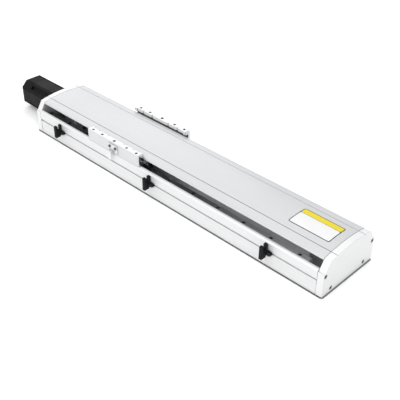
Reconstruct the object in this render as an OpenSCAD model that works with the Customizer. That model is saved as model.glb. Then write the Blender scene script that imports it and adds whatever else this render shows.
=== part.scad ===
// Covered belt driven linear axis: a flat aluminium body with two guide rails, a U shaped
// table whose two arms rise through slots beside a domed cover, a toothed belt turned by a
// right-angle bevel stage, and a square servo motor in line with the body.
// X runs along the travel (motor at -X), the table's arms are at -Y and +Y, +Z is up.
// The origin is the middle of the body's mounting face.

/* [Body] */
// Length over the outer faces of the two end plates
body_l = 744; // [700:1:900]
// Overall width
body_w = 135; // [133:0.5:140]
// Height of the cover's crown
crown_h = 71.3; // [70:0.1:74]
// Rise of the dome from its shoulder edges to the crown
crown_rise = 5.3; // [4.5:0.1:6.5]
// Distance of a shoulder edge from the outer side
shoulder_in = 14; // [13:0.25:15.5]
// Thickness of each end plate
plate_t = 13; // [10:0.5:15]
// Thickness of the base between the rails
floor_t = 8; // [6:0.5:9]
// Distance of the shallow grooves under the floor from the body's sides
foot_in = 36; // [30:0.5:44]
// Wall between the slot edge and the outer side
wall_t = 6.2; // [5.5:0.1:7]
// Height of the side T-slot's centre
slot_z = 30; // [27:0.5:33]
// Opening of the side T-slot
slot_gap = 3.4; // [3:0.1:4]
// Thickness of the top cover
cover_t = 2.2; // [1.6:0.1:2.6]
// Distance of the cover's long grooves from the shoulder edges
groove_in = 16.5; // [12:0.5:24]

/* [Guides] */
// Gap between a guide block and the side wall
block_gap = 0.8; // [0.5:0.1:2]
// Width of a guide rail
rail_w = 15; // [14:0.5:16]
// Height of a guide rail
rail_h = 15; // [14:0.5:15.5]
// Height of the rail seats
rail_seat_z = 23; // [22:0.25:24]
// Pitch of the rail's bolt holes
rail_pitch = 60; // [40:5:80]
// Distance of the rails' tail end from the end plate
rail_end = 31; // [26:0.5:40]
// Width of a guide block
block_w = 34; // [32:0.5:34]
// Length of a guide block with its end seals
block_l = 61.4; // [55:0.2:64]
// Length of one end seal
seal_l = 11; // [8:0.5:13]
// Distance between the two blocks on a rail
block_pitch = 72; // [66:0.5:76]
// Bolt spacing of a block, both ways
block_bolts = 26; // [24:0.5:27]

/* [Table] */
// Length of the table
table_l = 144; // [140:1:160]
// Rest position of the table's centre
table_x = -124; // [-130:1:-110]
// Height of the table's mounting faces over the crown
table_rise = 2.9; // [2.5:0.1:6]
// Distance from the shoulder edges down to the table's plate
deck_drop = 6; // [5.5:0.25:8]
// Thickness of the table's plate
deck_t = 9; // [8:0.25:11]
// Distance from the table's underside down to the side walls' top
side_drop = 4; // [3.8:0.1:6]
// Width of the mounting faces
arm_w = 13; // [12.4:0.1:14]
// Thickness of the arms where they pass the cover's edge
arm_leg = 6; // [5:0.25:7]
// Spacing of the outer mounting holes along the travel
mount_pitch = 125; // [122:0.5:127]
// Spacing of the inner mounting holes along the travel
mount_inner = 71; // [64:0.5:76]
// Distance of the mounting holes from the outer side
hole_in = 5; // [4.5:0.25:7]
// Radius of the mounting holes
hole_r = 2.5; // [1.6:0.1:3]
// Thickness of the table's end caps
cap_t = 2; // [1.75:0.25:4]

/* [Drive] */
// Height of the motor and pulley axes
axis_z = 33.5; // [33:0.1:34]
// Belt pitch
belt_pitch = 5; // [5:1:5]
// Teeth on each pulley
pulley_teeth = 14; // [12:1:14]
// Belt width
belt_w = 15; // [12:0.5:15]
// Distance from the tail end of the motor plate to the drive pulley's axis
drive_set = 63; // [62:0.5:66]
// Module of the bevel gears
gear_m = 1; // [0.9:0.05:1]
// Teeth of the bevel gear on the pulley shaft
gear_teeth = 34; // [30:1:34]
// Teeth of the bevel pinion
pinion_teeth = 20; // [16:1:20]
// Face width of the bevel teeth
gear_face = 4.2; // [3:0.1:4.5]
// Diameter of the pulley and pinion shafts
shaft_d = 8; // [6:0.5:8]
// Outer diameter of the shaft bearings
bearing_d = 16; // [14:0.5:18]
// Width of the shaft bearings
bearing_w = 5; // [4:0.25:5.5]

// Thickness of the pads that stop the table at the motor end
pad_t = 1.8; // [1:0.1:6]
// Length of the stops at the tail end
stop_l = 24.7; // [16:0.1:30]

/* [Motor] */
// Side of the square motor
motor_w = 60; // [56:1:60]
// Motor length behind the end plate
motor_l = 108.6; // [90:1:140]
// Chamfer of the motor's corners
motor_chamfer = 12.5; // [10:0.5:14]
// Thickness of the mounting flange
flange_t = 8; // [6:0.5:10]
// Length of the rear cover
bell_l = 28; // [20:1:35]
// Pitch circle of the motor's mounting screws
motor_pcd = 70; // [68:0.5:71]
// Diameter of the motor's pilot
pilot_d = 50; // [44:1:52]
// Diameter of the motor's shaft
motor_shaft_d = 14; // [10:1:15]

/* [Sensors] */
// Distance of the motor-side sensor from the body's end
sensor_motor_in = 82; // [76:1:90]
// Middle of the home sensor
sensor_home_x = -21.5; // [-60:0.5:100]
// Distance of the tail-side sensor from the body's end
sensor_tail_in = 114; // [104:1:120]
// Depth of a sensor away from the body's side
sensor_d = 15; // [14:0.5:17]
// Thickness of a sensor along the travel
sensor_t = 6; // [5:0.5:8]
// Height of a sensor's lower edge
sensor_z = 20.5; // [18:0.5:22]
// Height of a sensor's prongs
sensor_top = 46; // [44:0.5:48]
// Gap between a sensor's prongs
sensor_gap = 5; // [4:0.5:6]
// Width of the flag's blade
blade_w = 10; // [8:0.5:12]
// Thickness of the flag's sheet
flag_t = 1.5; // [1:0.1:1.6]

/* [Hidden] */
$fn = 48;

fit = 0.02;          // radial gap of a seated round part
run = 0.05;          // radial gap of a shaft that turns
gap = 0.3;           // gap between parts that move past each other
seat = 0.1;          // gap of a part laid in its seat
e = 1;               // overlap of cutting tools

hw = body_w/2;
end_x = body_l/2;
inner_x = end_x - plate_t;
wall_y = hw - wall_t;
rail_y = wall_y - block_gap - block_w/2;
shoulder_y = hw - shoulder_in;
shoulder_z = crown_h - crown_rise;
groove_y = shoulder_y - groove_in;
table_top = crown_h + table_rise;
deck_top = shoulder_z - deck_drop;
deck_z = deck_top - deck_t;                 // underside of the table
side_h = deck_z - side_drop;                // top of the straight side walls
dome_r = (pow(shoulder_y, 2) + pow(crown_h - shoulder_z, 2))/(2*(crown_h - shoulder_z));
lip_z = side_h + 3.3;                       // top of the base's slot edge
lip_y = hw - 2.5;                           // where that top begins
cover_edge_y = shoulder_y + 1.7;
cover_edge_z = shoulder_z - 2.7;
plate_screw_hi = [hw - 4.2, side_h - 5.5];  // screws of the end plates, as [y, z]
plate_screw_lo = [hw - 23, 8];
plate_screw_r = 2;

// Sizes of a cap screw of thread diameter d: head radius and height
function head_r(d) = 0.85*d + 0.1;
function head_h(d) = d;

rail_x0 = -inner_x + 1;
rail_x1 = inner_x - rail_end;
rail_top = rail_seat_z + rail_h;
rail_first = rail_x1 - 20;
rail_n = floor((rail_first - rail_x0 - 5)/rail_pitch) + 1;

block_z0 = rail_seat_z + 4.3;
block_in = rail_y - block_w/2;              // inner face of the guide blocks
recess_y = block_in - 2;          // hollow under the table, above the drive
recess_z = deck_z + 2.5;
block_xs = [-block_pitch/2, block_pitch/2];
bolt_seat = deck_top - 4.5;                 // where the block screws' heads sit
key_r = 2.2;

arm_in = hw - arm_w;                        // inner faces of the mounting bars
bar_z = shoulder_z + 1.8;                   // underside of the overhanging bars
leg_in = hw - arm_leg;
corner_c = 1;
hole_y = hw - hole_in;

pulley_r = pulley_teeth*belt_pitch/(2*PI);
belt_u = 0.415;                             // pitch line above the tooth roots
belt_back = 1;                              // thickness behind the tooth roots
tooth_h = 1.2;
tooth_w = 2.65;
tooth_tip = 1.8;
belt_y = -3;                                // middle of the belt
belt_y0 = belt_y - belt_w/2;
pulley_flange = 1;
pulley_y0 = belt_y0 - pulley_flange;
pulley_y1 = belt_y0 + belt_w + pulley_flange;
flange_r = pulley_r + 1.8;
drive_x = -inner_x + drive_set;
pulley_span = belt_pitch*floor((2*inner_x - drive_set - 40)/belt_pitch);
idler_x = drive_x + pulley_span;

gear_r = gear_m*gear_teeth/2;
pinion_r = gear_m*pinion_teeth/2;
cone = sqrt(gear_r*gear_r + pinion_r*pinion_r);
inner_k = 1 - gear_face/cone;               // inner end of the teeth over their outer end
gear_hub = 6.5;
pinion_hub = 8;
pinion_x = drive_x - gear_r;                // outer end of the pinion's teeth
shaft_r = shaft_d/2;

wall_b = 12;                                // wall that carries the pinion shaft
house_x0 = pinion_x - pinion_hub - 0.7 - wall_b;
house_x1 = drive_x + 13;
cheek = 7;                                  // walls that carry the pulley shaft
cheek_a = pulley_y0 - 6 - cheek;
cheek_b = pinion_r + gear_hub + 1.2;
house_top = axis_z + 14.5;
house_base = floor_t + 6;
blind = 3;                                  // floor left under the housing's threads
hub_r = 13;
hub_l = 9;
spider_l = 3;
hub_x0 = house_x0 - 0.8 - 2*hub_l - spider_l;

fork_in = 1;                                // gap beside the idler pulley
fork_t = 7.5;
fork_in_x = idler_x + 18;
fork_x1 = idler_x + 25;
fork_top = axis_z + 7;

clamp_x0 = table_x + 5;
clamp_l = 40;
clamp_side = 0.72*(block_in + belt_y - belt_w/2);  // land beside the belt
clamp_r = belt_w/2 + clamp_side;
clamp_bolt_y = belt_w/2 + clamp_side/2 + 0.5;
belt_top = axis_z + pulley_r - belt_u + belt_back;
belt_root = axis_z + pulley_r - belt_u;

motor_x0 = -end_x - motor_l;
bell_x1 = motor_x0 + bell_l;
flange_x0 = -end_x - flange_t;
shaft_in = 29;                              // length of the shaft inside the motor
mount_r = motor_pcd/2/sqrt(2);
rib_w = 1.6;                                // narrow grooves in the motor's sides
rib_in = 2.4;

buffer_z = (deck_z + deck_top)/2;
buffer_y = rail_y - 3.5;
rubber_l = min(10, stop_l - 3);

sensor_motor_x = sensor_motor_in - end_x;
sensor_tail_x = end_x - sensor_tail_in;
sensor_y = -hw - gap;                       // back of the sensors
slot_mid = sensor_d*0.46;                   // middle of the prong gap, from the back
foot_w = 8;
foot_l = 13;
blade_y = sensor_y - slot_mid;
flag_x = table_x + 1.5;
flag_w = 27;
flag_h = 16.5;
flag_z = deck_z + 2;
blade_x = table_x - 2.5;
blade_z0 = sensor_top - 8;

WHITE = [0.93, 0.93, 0.94];
SILVER = [0.86, 0.87, 0.88];
STEEL = [0.62, 0.64, 0.66];
DARK = [0.13, 0.13, 0.14];
BLACK = [0.07, 0.07, 0.08];
MACHINED = [0.78, 0.79, 0.8];

// ---------- helpers ----------

// Extrudes a [y, z] outline along X
module along_x(x0, l) {
    translate([x0, 0, 0]) rotate([90, 0, 90]) linear_extrude(l) children();
}

// Extrudes an [x, z] outline along Y
module along_y(y0, l) {
    translate([0, y0 + l, 0]) rotate([90, 0, 0]) linear_extrude(l) children();
}

module rod_x(x0, l, y, z, r) {
    translate([x0, y, z]) rotate([0, 90, 0]) cylinder(h = l, r = r);
}

module rod_y(y0, l, x, z, r) {
    translate([x, y0 + l, z]) rotate([90, 0, 0]) cylinder(h = l, r = r);
}

module rod_z(z0, l, x, y, r) {
    translate([x, y, z0]) cylinder(h = l, r = r);
}

module box(x0, x1, y0, y1, z0, z1) {
    translate([x0, y0, z0]) cube([x1 - x0, y1 - y0, z1 - z0]);
}

// Keeps an outline and its mirror image across the middle
module both_sides() {
    children();
    mirror([1, 0]) children();
}

// Outline points given for one side, followed by their mirror image
function whole(p) = concat(p, [for (i = [len(p) - 1:-1:0]) if (p[i][0] > 0) [-p[i][0], p[i][1]]]);

// Cap screw with its head above z = 0 and a hexagon socket
module cap_screw(d, l, r = 0) {
    difference() {
        union() {
            cylinder(h = head_h(d), r = r > 0 ? r : head_r(d));
            translate([0, 0, -l]) cylinder(h = l + e/2, r = d/2);
        }
        translate([0, 0, head_h(d)*0.45]) cylinder(h = head_h(d), r = d*0.45, $fn = 6);
    }
}

// Ball bearing with an open bore and recessed shields on both faces
module bearing(r_out, r_in, w) {
    r1 = r_in + (r_out - r_in)*0.3;
    r2 = r_in + (r_out - r_in)*0.72;
    rotate_extrude() polygon([
        [r_in, 0], [r1, 0], [r1, 0.4], [r2, 0.4], [r2, 0], [r_out, 0],
        [r_out, w], [r2, w], [r2, w - 0.4], [r1, w - 0.4], [r1, w], [r_in, w]
    ]);
}

// ---------- body ----------

module base_outline() {
    polygon(whole([
        [0, 0], [6, 0], [6.8, 0.8], [28, 0.8], [28.8, 0], [hw - 0.9, 0], [hw, 0.9], [hw, 6.7],
        [hw - 0.5, 7.2],
        [hw - 0.5, 21], [hw, 21.5], [hw, side_h], [lip_y, lip_z], [wall_y, lip_z],
        [wall_y, rail_seat_z - 4], [wall_y - 1.5, rail_seat_z - 5.5],
        [rail_y + rail_w/2 + 2, rail_seat_z - 5.5], [rail_y + rail_w/2 + 2, rail_seat_z],
        [rail_y - rail_w/2 - 1.5, rail_seat_z], [rail_y - rail_w/2 - 3, floor_t + 5],
        [rail_y - rail_w/2 - 4.2, floor_t], [0, floor_t]
    ]));
}

// Undercut groove in the side wall
module side_slot_cut() {
    translate([hw - 1.5, slot_z - slot_gap/2]) square([1.5 + e, slot_gap]);
    polygon([
        [hw - 1.5, slot_z - 2.9], [hw - 3, slot_z - 2.9], [hw - 4.1, slot_z - 1.8],
        [hw - 4.1, slot_z + 1.8], [hw - 3, slot_z + 2.9], [hw - 1.5, slot_z + 2.9]
    ]);
}

mount_xs = [-body_l*0.4, -body_l*0.14, body_l*0.14, body_l*0.4];
mount_y = hw - 11.5;

module base_extrusion() {
    color(WHITE) difference() {
        along_x(-inner_x, 2*inner_x) difference() {
            base_outline();
            both_sides() side_slot_cut();
            both_sides() translate([hw - foot_in, 0.8 - e]) polygon([[0, 0], [5, 0], [5, 2.2], [0, 2.2]]);
        }
        for (s = [-1, 1], a = [-1, 1]) {
            for (p = [plate_screw_hi, plate_screw_lo])
                rod_x(a > 0 ? inner_x - 16 : -inner_x - e, 16 + e, s*p[0], p[1], 1.65);
        }
        for (s = [-1, 1], x = mount_xs)
            rod_z(-e, 14 + e, x, s*mount_y, 2.5);
        for (s = [-1, 1], i = [0:rail_n - 1])
            rod_z(rail_seat_z - 11, 11 + e, rail_first - i*rail_pitch, s*rail_y, 1.65);
        for (p = concat(house_bolts, fork_bolts))
            rod_z(-e, floor_t + 2*e, p[0], p[1], 1.65);
    }
}

shoulder = [shoulder_y, shoulder_z];

// A point a little beyond b on the line from a
function past(a, b) = a + 1.25*(b - a);

// Outline under the dome; d shrinks the dome only
module dome(d) {
    translate([0, crown_h - dome_r]) circle(r = dome_r - d, $fn = 360);
}

module cover_groove() {
    both_sides() translate([groove_y - 0.4, crown_h - 6]) difference() {
        square([0.8, 8]);
        translate([-groove_y + 0.4, 6 - dome_r]) circle(r = dome_r - 0.6, $fn = 360);
    }
}

module cover_outline() {
    difference() {
        union() {
            difference() {
                intersection() {
                    dome(0);
                    polygon(whole([
                        [0, cover_edge_z], [cover_edge_y, cover_edge_z],
                        past([cover_edge_y, cover_edge_z], shoulder), [shoulder_y*0.75, crown_h + 4],
                        [0, crown_h + 4]
                    ]));
                }
                intersection() {
                    dome(cover_t);
                    polygon([
                        [1.2 - cover_edge_y, cover_edge_z - e], [2 - shoulder_y, shoulder_z - 0.5],
                        [2 - shoulder_y, crown_h], [shoulder_y - 2, crown_h],
                        [shoulder_y - 2, shoulder_z - 0.5], [cover_edge_y - 1.2, cover_edge_z - e]
                    ]);
                }
            }
            intersection() {
                dome(0.3);
                both_sides() translate([groove_y - 2.2, crown_h - cover_t - 4.4]) square([4.4, 5]);
            }
        }
        cover_groove();
    }
}

module top_cover() {
    color(SILVER) along_x(seat - inner_x, 2*(inner_x - seat)) cover_outline();
}

// Outline of an end plate, drawn in by i
module plate_outline(i = 0) {
    difference() {
        intersection() {
            dome(i);
            polygon(whole([
                [0, 0], [hw - 0.9 - i, 0], [hw - i, 0.9], [hw - i, side_h - i], [hw - 1.9 - i, side_h - i],
                past([hw - 1.9 - i, side_h - i], [shoulder_y - i, shoulder_z - i]),
                [shoulder_y*0.75, crown_h + 4], [0, crown_h + 4]
            ]));
        }
        if (i == 0) cover_groove();
    }
}

// Height of the cover's seat at y, just under its inner face
function dome_z(y) = crown_h - dome_r + sqrt(pow(dome_r - cover_t - seat, 2) - y*y);
ledge_y = groove_y - 2.6;
ledge_out = shoulder_y - 5.5;
seam = 0.6;                                 // shadow groove where the end plates meet the body

// End plate from x0 to x1; the ledge on its inner side carries the cover's end
module end_plate(x0, x1, ledge_x) {
    outer = abs(x1) > abs(x0) ? x1 : x0;
    s = sign(outer);
    difference() {
        union() {
            along_x(s > 0 ? x0 + seam : x0, x1 - x0 - seam) plate_outline();
            along_x(s > 0 ? x0 : x1 - seam - e/2, seam + e/2) plate_outline(seam);
            along_x(ledge_x, 5) {
                polygon([
                    [-ledge_y, deck_top + 2], [-ledge_y, dome_z(ledge_y)], [-ledge_y/2, dome_z(ledge_y/2)],
                    [0, dome_z(0)], [ledge_y/2, dome_z(ledge_y/2)], [ledge_y, dome_z(ledge_y)],
                    [ledge_y, deck_top + 2]
                ]);
                both_sides() polygon([
                    [groove_y + 2.6, deck_top + 2], [ledge_out, deck_top + 2], [ledge_out, dome_z(ledge_out)],
                    [groove_y + 2.6, dome_z(groove_y + 2.6)]
                ]);
            }
        }
        for (a = [-1, 1], p = [plate_screw_hi, plate_screw_lo]) {
            rod_x(x0 - e, x1 - x0 + 2*e, a*p[0], p[1], plate_screw_r + 0.15);
            translate([outer, a*p[0], p[1]]) rotate([0, s*90, 0])
                translate([0, 0, -4.4]) cylinder(h = 4.4 + e, r = 3.75);
        }
    }
}

module motor_end_plate() {
    color(WHITE) difference() {
        end_plate(-end_x, -inner_x, -inner_x - 1);
        rod_x(-end_x - e, 3.5 + e, 0, axis_z, pilot_d/2 + seat);
        rod_x(-end_x - e, plate_t + 2*e, 0, axis_z, hub_r + 4);
        for (a = [-1, 1], b = [-1, 1])
            rod_x(-end_x - e, 11 + e, a*mount_r, axis_z + b*mount_r, 2.1);
        for (a = [-1, 1]) rod_x(-inner_x - 5, 5 + e, a*buffer_y, buffer_z, 1.6);
    }
}

module tail_end_plate() {
    color(WHITE) difference() {
        end_plate(inner_x, end_x, inner_x - 4);
        for (a = [-1, 1]) rod_x(inner_x - e, 6 + e, a*buffer_y, buffer_z, 2.1);
        for (y = tension_ys) rod_x(inner_x - e, 7 + e, y, axis_z - 6, 2.1);
    }
}

module end_plate_screws() {
    color(DARK) for (s = [-1, 1], a = [-1, 1], p = [plate_screw_hi, plate_screw_lo])
        translate([s*(end_x - 4.4), a*p[0], p[1]]) rotate([0, s*90, 0]) cap_screw(3.2, plate_t + 5, 3.5);
}

// ---------- guides ----------

module rail_outline() {
    h = rail_h;
    w = rail_w/2;
    polygon([
        [-w, 0], [-w, 0.38*h], [-0.8*w, 0.5*h], [-0.8*w, 0.62*h], [-w, 0.74*h], [-w, 0.82*h],
        [-0.64*w, h], [0.64*w, h], [w, 0.82*h], [w, 0.74*h], [0.8*w, 0.62*h], [0.8*w, 0.5*h],
        [w, 0.38*h], [w, 0]
    ]);
}

module guide_rail(s) {
    difference() {
        translate([0, s*rail_y, rail_seat_z]) along_x(rail_x0, rail_x1 - rail_x0) rail_outline();
        for (i = [0:rail_n - 1]) {
            rod_z(rail_seat_z - e, rail_h + 2*e, rail_first - i*rail_pitch, s*rail_y, 2.25);
            rod_z(rail_top - 5.3, 5.3 + e, rail_first - i*rail_pitch, s*rail_y, 3.75);
        }
    }
}

module front_guide_rail() {
    color(STEEL) guide_rail(-1);
}

module rear_guide_rail() {
    color(STEEL) guide_rail(1);
}

module rail_screws() {
    color(DARK) for (s = [-1, 1], i = [0:rail_n - 1])
        translate([rail_first - i*rail_pitch, s*rail_y, rail_top - 5.3])
            cap_screw(3.2, rail_h + 3, 3.5);
}

// Steel block that saddles the rail; x is its middle, s its side
module guide_block(x, s) {
    l = block_l - 2*seal_l;
    w = block_w/2;
    h = deck_z - block_z0;
    difference() {
        translate([0, s*rail_y, block_z0]) along_x(table_x + x - l/2, l) difference() {
            polygon([
                [-w, 2], [-w + 2, 0], [w - 2, 0], [w, 2], [w, h - 5], [w - 1, h - 3.5],
                [w - 1, h], [1 - w, h], [1 - w, h - 3.5], [-w, h - 5]
            ]);
            rail_clearance();
        }
        for (a = [-1, 1], b = [-1, 1])
            rod_z(deck_z - 6, 6 + e, table_x + x + a*block_bolts/2,
                s*(rail_y) + b*block_bolts/2, 1.65);
    }
}

// Space of the rail inside a block, in the block's own outline
module rail_clearance() {
    g = gap;
    z = rail_seat_z - block_z0;
    w = rail_w/2;
    polygon([
        [-w - g, -e], [-w - g, z + 0.38*rail_h + 0.1], [-0.8*w - g, z + 0.5*rail_h],
        [-0.8*w - g, z + 0.62*rail_h], [-w - g, z + 0.74*rail_h], [-w - g, z + 0.82*rail_h + g/2],
        [-0.64*w - g/2, z + rail_h + g], [0.64*w + g/2, z + rail_h + g],
        [w + g, z + 0.82*rail_h + g/2], [w + g, z + 0.74*rail_h], [0.8*w + g, z + 0.62*rail_h],
        [0.8*w + g, z + 0.5*rail_h], [w + g, z + 0.38*rail_h + 0.1], [w + g, -e]
    ]);
}

module guide_block_front_motor() {
    color(STEEL) guide_block(block_xs[0], -1);
}

module guide_block_front_tail() {
    color(STEEL) guide_block(block_xs[1], -1);
}

module guide_block_rear_motor() {
    color(STEEL) guide_block(block_xs[0], 1);
}

module guide_block_rear_tail() {
    color(STEEL) guide_block(block_xs[1], 1);
}

module block_end_seals() {
    w = block_w/2 - 0.6;
    h = deck_z - block_z0 - 1;
    l = block_l/2;
    color(BLACK) for (s = [-1, 1], x = block_xs, a = [-1, 1])
        translate([0, s*rail_y, block_z0]) difference() {
            along_x(table_x + x + (a > 0 ? l - seal_l : -l), seal_l) difference() {
                polygon([
                    [-w, 3], [-w + 3, 0], [w - 3, 0], [w, 3], [w, h - 4], [w - 4, h],
                    [4 - w, h], [-w, h - 4]
                ]);
                rail_clearance();
            }
            for (b = [-1, 1])
                rod_x(table_x + x + a*(l - 1.2) - e, 2*e, b*(w - 4.5), h*0.45, 1.6);
        }
}

module block_screws() {
    color(DARK) for (s = [-1, 1], x = block_xs, a = [-1, 1], b = [-1, 1])
        translate([table_x + x + a*block_bolts/2, s*rail_y + b*block_bolts/2, bolt_seat])
            cap_screw(3.2, bolt_seat - deck_z + 5, 3.5);
}

// ---------- table ----------

module table_outline() {
    polygon(whole([
        [0, recess_z], [recess_y, recess_z], [recess_y, deck_z], [hw, deck_z],
        [hw, table_top - 0.4], [hw - 0.4, table_top], [arm_in + 0.3, table_top],
        [arm_in, table_top - 0.3], [arm_in, bar_z], [leg_in, bar_z], [leg_in, deck_top],
        [0, deck_top]
    ]));
}

// Corners of the table seen from above, cut on the outer side
module table_plan(l, c) {
    polygon([
        [-l/2, c - hw], [c - l/2, -hw], [l/2 - c, -hw], [l/2, c - hw],
        [l/2, hw - c], [l/2 - c, hw], [c - l/2, hw], [-l/2, hw - c]
    ]);
}

module carriage_table() {
    color(WHITE) difference() {
        intersection() {
            along_x(table_x - table_l/2, table_l) table_outline();
            translate([table_x, 0, 0]) linear_extrude(table_top + e) table_plan(table_l, corner_c);
        }
        for (s = [-1, 1]) {
            // shallow pocket along the inner face of each mounting bar
            translate([table_x - table_l/2 + 5, s > 0 ? arm_in - e : -arm_in - 1.8, bar_z - e])
                cube([table_l - 10, 1.8 + e, table_top]);
            for (a = [-1, 1]) {
                for (x = [mount_pitch/2, mount_inner/2]) {
                    rod_z(table_top - 12, 12 + e, table_x + a*x, s*hole_y, hole_r);
                    translate([table_x + a*x, s*hole_y, table_top - 0.4])
                        cylinder(h = 0.4 + e, r1 = hole_r, r2 = hole_r + 0.4 + e);
                }
            }
            rod_z(table_top - 8, 8 + e, table_x, s*hole_y, 3);
            for (x = block_xs, a = [-1, 1]) {
                bx = table_x + x + a*block_bolts/2;
                rod_z(bar_z - e, table_top, bx, s*(rail_y + block_bolts/2), key_r);
                for (b = [-1, 1]) {
                    rod_z(deck_z - e, 20, bx, s*rail_y + b*block_bolts/2, 2.15);
                    rod_z(bolt_seat, deck_top - bolt_seat + 1, bx, s*rail_y + b*block_bolts/2, 3.8);
                }
            }
            for (x = flag_screw_xs)
                rod_y(s < 0 ? -hw - e : hw - 4, 4 + e, x, flag_screw_z, 1.25);
        }
        for (p = clamp_bolts) {
            rod_z(recess_z - e, 10, p[0], p[1], 2.15);
            rod_z(hold_seat, deck_top - hold_seat + e, p[0], p[1], 4);
        }
        for (a = [-1, 1], p = cap_bolts)
            rod_x(table_x + a*table_l/2 - 8, 16, p[0], p[1], 1.25);
    }
}

cap_bolts = [
    for (s = [-1, 1]) [s*(arm_in + 5), table_top - 3.2],
    for (s = [-1, 1]) [s*20, (recess_z + deck_top)/2],
    for (s = [-1, 1]) [s*(buffer_y + 12), buffer_z]
];
cap_y = hw - corner_c + 0.3;                // half width of the end caps

// Smooth metal cap across one end of the table; s is -1 at the motor side
module end_cap(s) {
    x0 = table_x + s*table_l/2 + (s > 0 ? 0 : -cap_t);
    color(MACHINED) difference() {
        along_x(x0, cap_t) polygon(whole([
            [0, recess_z + 0.3], [recess_y, recess_z + 0.3], [recess_y, deck_z + 0.3],
            [cap_y, deck_z + 0.3], [cap_y, table_top - 0.6], [arm_in + 0.4, table_top - 0.6],
            [arm_in + 0.4, bar_z + 0.2], [leg_in + 0.2, bar_z + 0.2], [leg_in + 0.2, deck_top - 0.3],
            [0, deck_top - 0.3]
        ]));
        for (p = cap_bolts) {
            rod_x(x0 - e, cap_t + 2*e, p[0], p[1], 1.6);
            translate([table_x + s*(table_l/2 + cap_t - 1.5), p[0], p[1]]) rotate([0, s*90, 0])
                cylinder(h = 2.5, r1 = 1.6, r2 = 3.1);
        }
    }
}

module motor_side_end_cap() {
    end_cap(-1);
}

module tail_side_end_cap() {
    end_cap(1);
}

module end_cap_screws() {
    color(STEEL) for (a = [-1, 1], p = cap_bolts)
        translate([table_x + a*(table_l/2 + cap_t - 1.5), p[0], p[1]]) rotate([0, a*90, 0])
            difference() {
                union() {
                    cylinder(h = 1.5, r1 = 1.5, r2 = 2.4);
                    translate([0, 0, -6]) cylinder(h = 6.5, r = 1.2);
                }
                translate([0, 0, 0.8]) cylinder(h = 2, r = 0.95, $fn = 6);
            }
}

// ---------- belt clamp ----------

clamp_ys = [belt_y - clamp_bolt_y, belt_y + clamp_bolt_y];
clamp_z = belt_root - 0.2;                  // where the plate meets the block
grip_t = 5;                                 // thickness of the plate
screw_step = 2;                             // step between the lengths that screws come in
grip_l = screw_step*floor((recess_z - clamp_z + grip_t - 1)/screw_step);
hold_seat = deck_top - 2.4;
hold_l = screw_step*floor((hold_seat - clamp_z - 2)/screw_step);
clamp_bolts = [for (x = [clamp_x0 + 8, clamp_x0 + clamp_l - 8], y = clamp_ys) [x, y]];
grip_bolts = [for (x = [clamp_x0 + 16, clamp_x0 + clamp_l - 16], y = clamp_ys) [x, y]];

module belt_clamp_block() {
    color(MACHINED) difference() {
        box(clamp_x0, clamp_x0 + clamp_l, belt_y - clamp_r, belt_y + clamp_r, clamp_z, recess_z);
        box(clamp_x0 - e, clamp_x0 + clamp_l + e, belt_y0 - 0.3, belt_y0 + belt_w + 0.3,
            0, belt_top + seat);
        for (p = clamp_bolts) rod_z(belt_root - e, 20, p[0], p[1], 1.65);
        for (p = grip_bolts) rod_z(belt_root - e, 20, p[0], p[1], 1.65);
    }
}

module belt_clamp_plate() {
    color(MACHINED) difference() {
        union() {
            box(clamp_x0, clamp_x0 + clamp_l, belt_y - clamp_r, belt_y + clamp_r, clamp_z - grip_t, clamp_z);
            box(clamp_x0, clamp_x0 + clamp_l, belt_y0 + 0.2, belt_y0 + belt_w - 0.2, clamp_z - 1,
                belt_root - 0.05);
        }
        along_y(belt_y0 - e, belt_w + 2*e) for (i = [0:floor(clamp_l/belt_pitch) + 1])
            translate([drive_x + belt_pitch*(ceil((clamp_x0 - drive_x)/belt_pitch) - 1 + i), belt_root])
                tooth_space(0.12);
        for (p = grip_bolts) rod_z(clamp_z - grip_t - e, grip_t + 2*e, p[0], p[1], 2.15);
    }
}

module belt_clamp_screws() {
    color(DARK) for (p = grip_bolts)
        translate([p[0], p[1], clamp_z - grip_t]) rotate([180, 0, 0]) cap_screw(3.2, grip_l, 3.2);
}

module clamp_block_screws() {
    color(DARK) for (p = clamp_bolts)
        translate([p[0], p[1], hold_seat]) cap_screw(3.2, hold_l, 3.5);
}

// ---------- belt and pulleys ----------

// One belt tooth hanging below the origin, with its flanks grown by g
module tooth_space(g) {
    polygon([
        [-tooth_w/2 - g, e], [-tooth_w/2 - g, 0], [-tooth_tip/2 - g, -tooth_h - g],
        [tooth_tip/2 + g, -tooth_h - g], [tooth_w/2 + g, 0], [tooth_w/2 + g, e]
    ]);
}

// The belt's tooth side, walked tooth by tooth: the point at distance s along the loop,
// at height h above the tooth roots
function loop_point(s, h) =
    let (c = pulley_span, a = PI*pulley_r, r = pulley_r - belt_u + h)
    s < c ? [drive_x + s, axis_z + r] :
    s < c + a ? let (t = 90 - (s - c)/a*180) [idler_x + r*cos(t), axis_z + r*sin(t)] :
    s < 2*c + a ? [idler_x - (s - c - a), axis_z - r] :
    let (t = 270 - (s - 2*c - a)/a*180) [drive_x + r*cos(t), axis_z + r*sin(t)];

belt_teeth = round((2*pulley_span + 2*PI*pulley_r)/belt_pitch);

module belt_loop() {
    n = belt_teeth;
    p = belt_pitch;
    len = n*p;
    inner = [
        for (i = [0:n - 1], q = [[-tooth_w/2, 0], [-tooth_tip/2, -tooth_h], [tooth_tip/2, -tooth_h],
            [tooth_w/2, 0]]) let (s = (i*p + q[0] + len) % len) loop_point(s, q[1])
    ];
    difference() {
        union() {
            for (x = [drive_x, idler_x])
                translate([x, axis_z]) circle(r = pulley_r - belt_u + belt_back);
            translate([drive_x, belt_low_back()]) square([pulley_span, belt_top - belt_low_back()]);
        }
        polygon(inner);
    }
}

function belt_low_back() = 2*axis_z - belt_top;

module timing_belt() {
    color(BLACK) along_y(belt_y0, belt_w) belt_loop();
}

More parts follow.
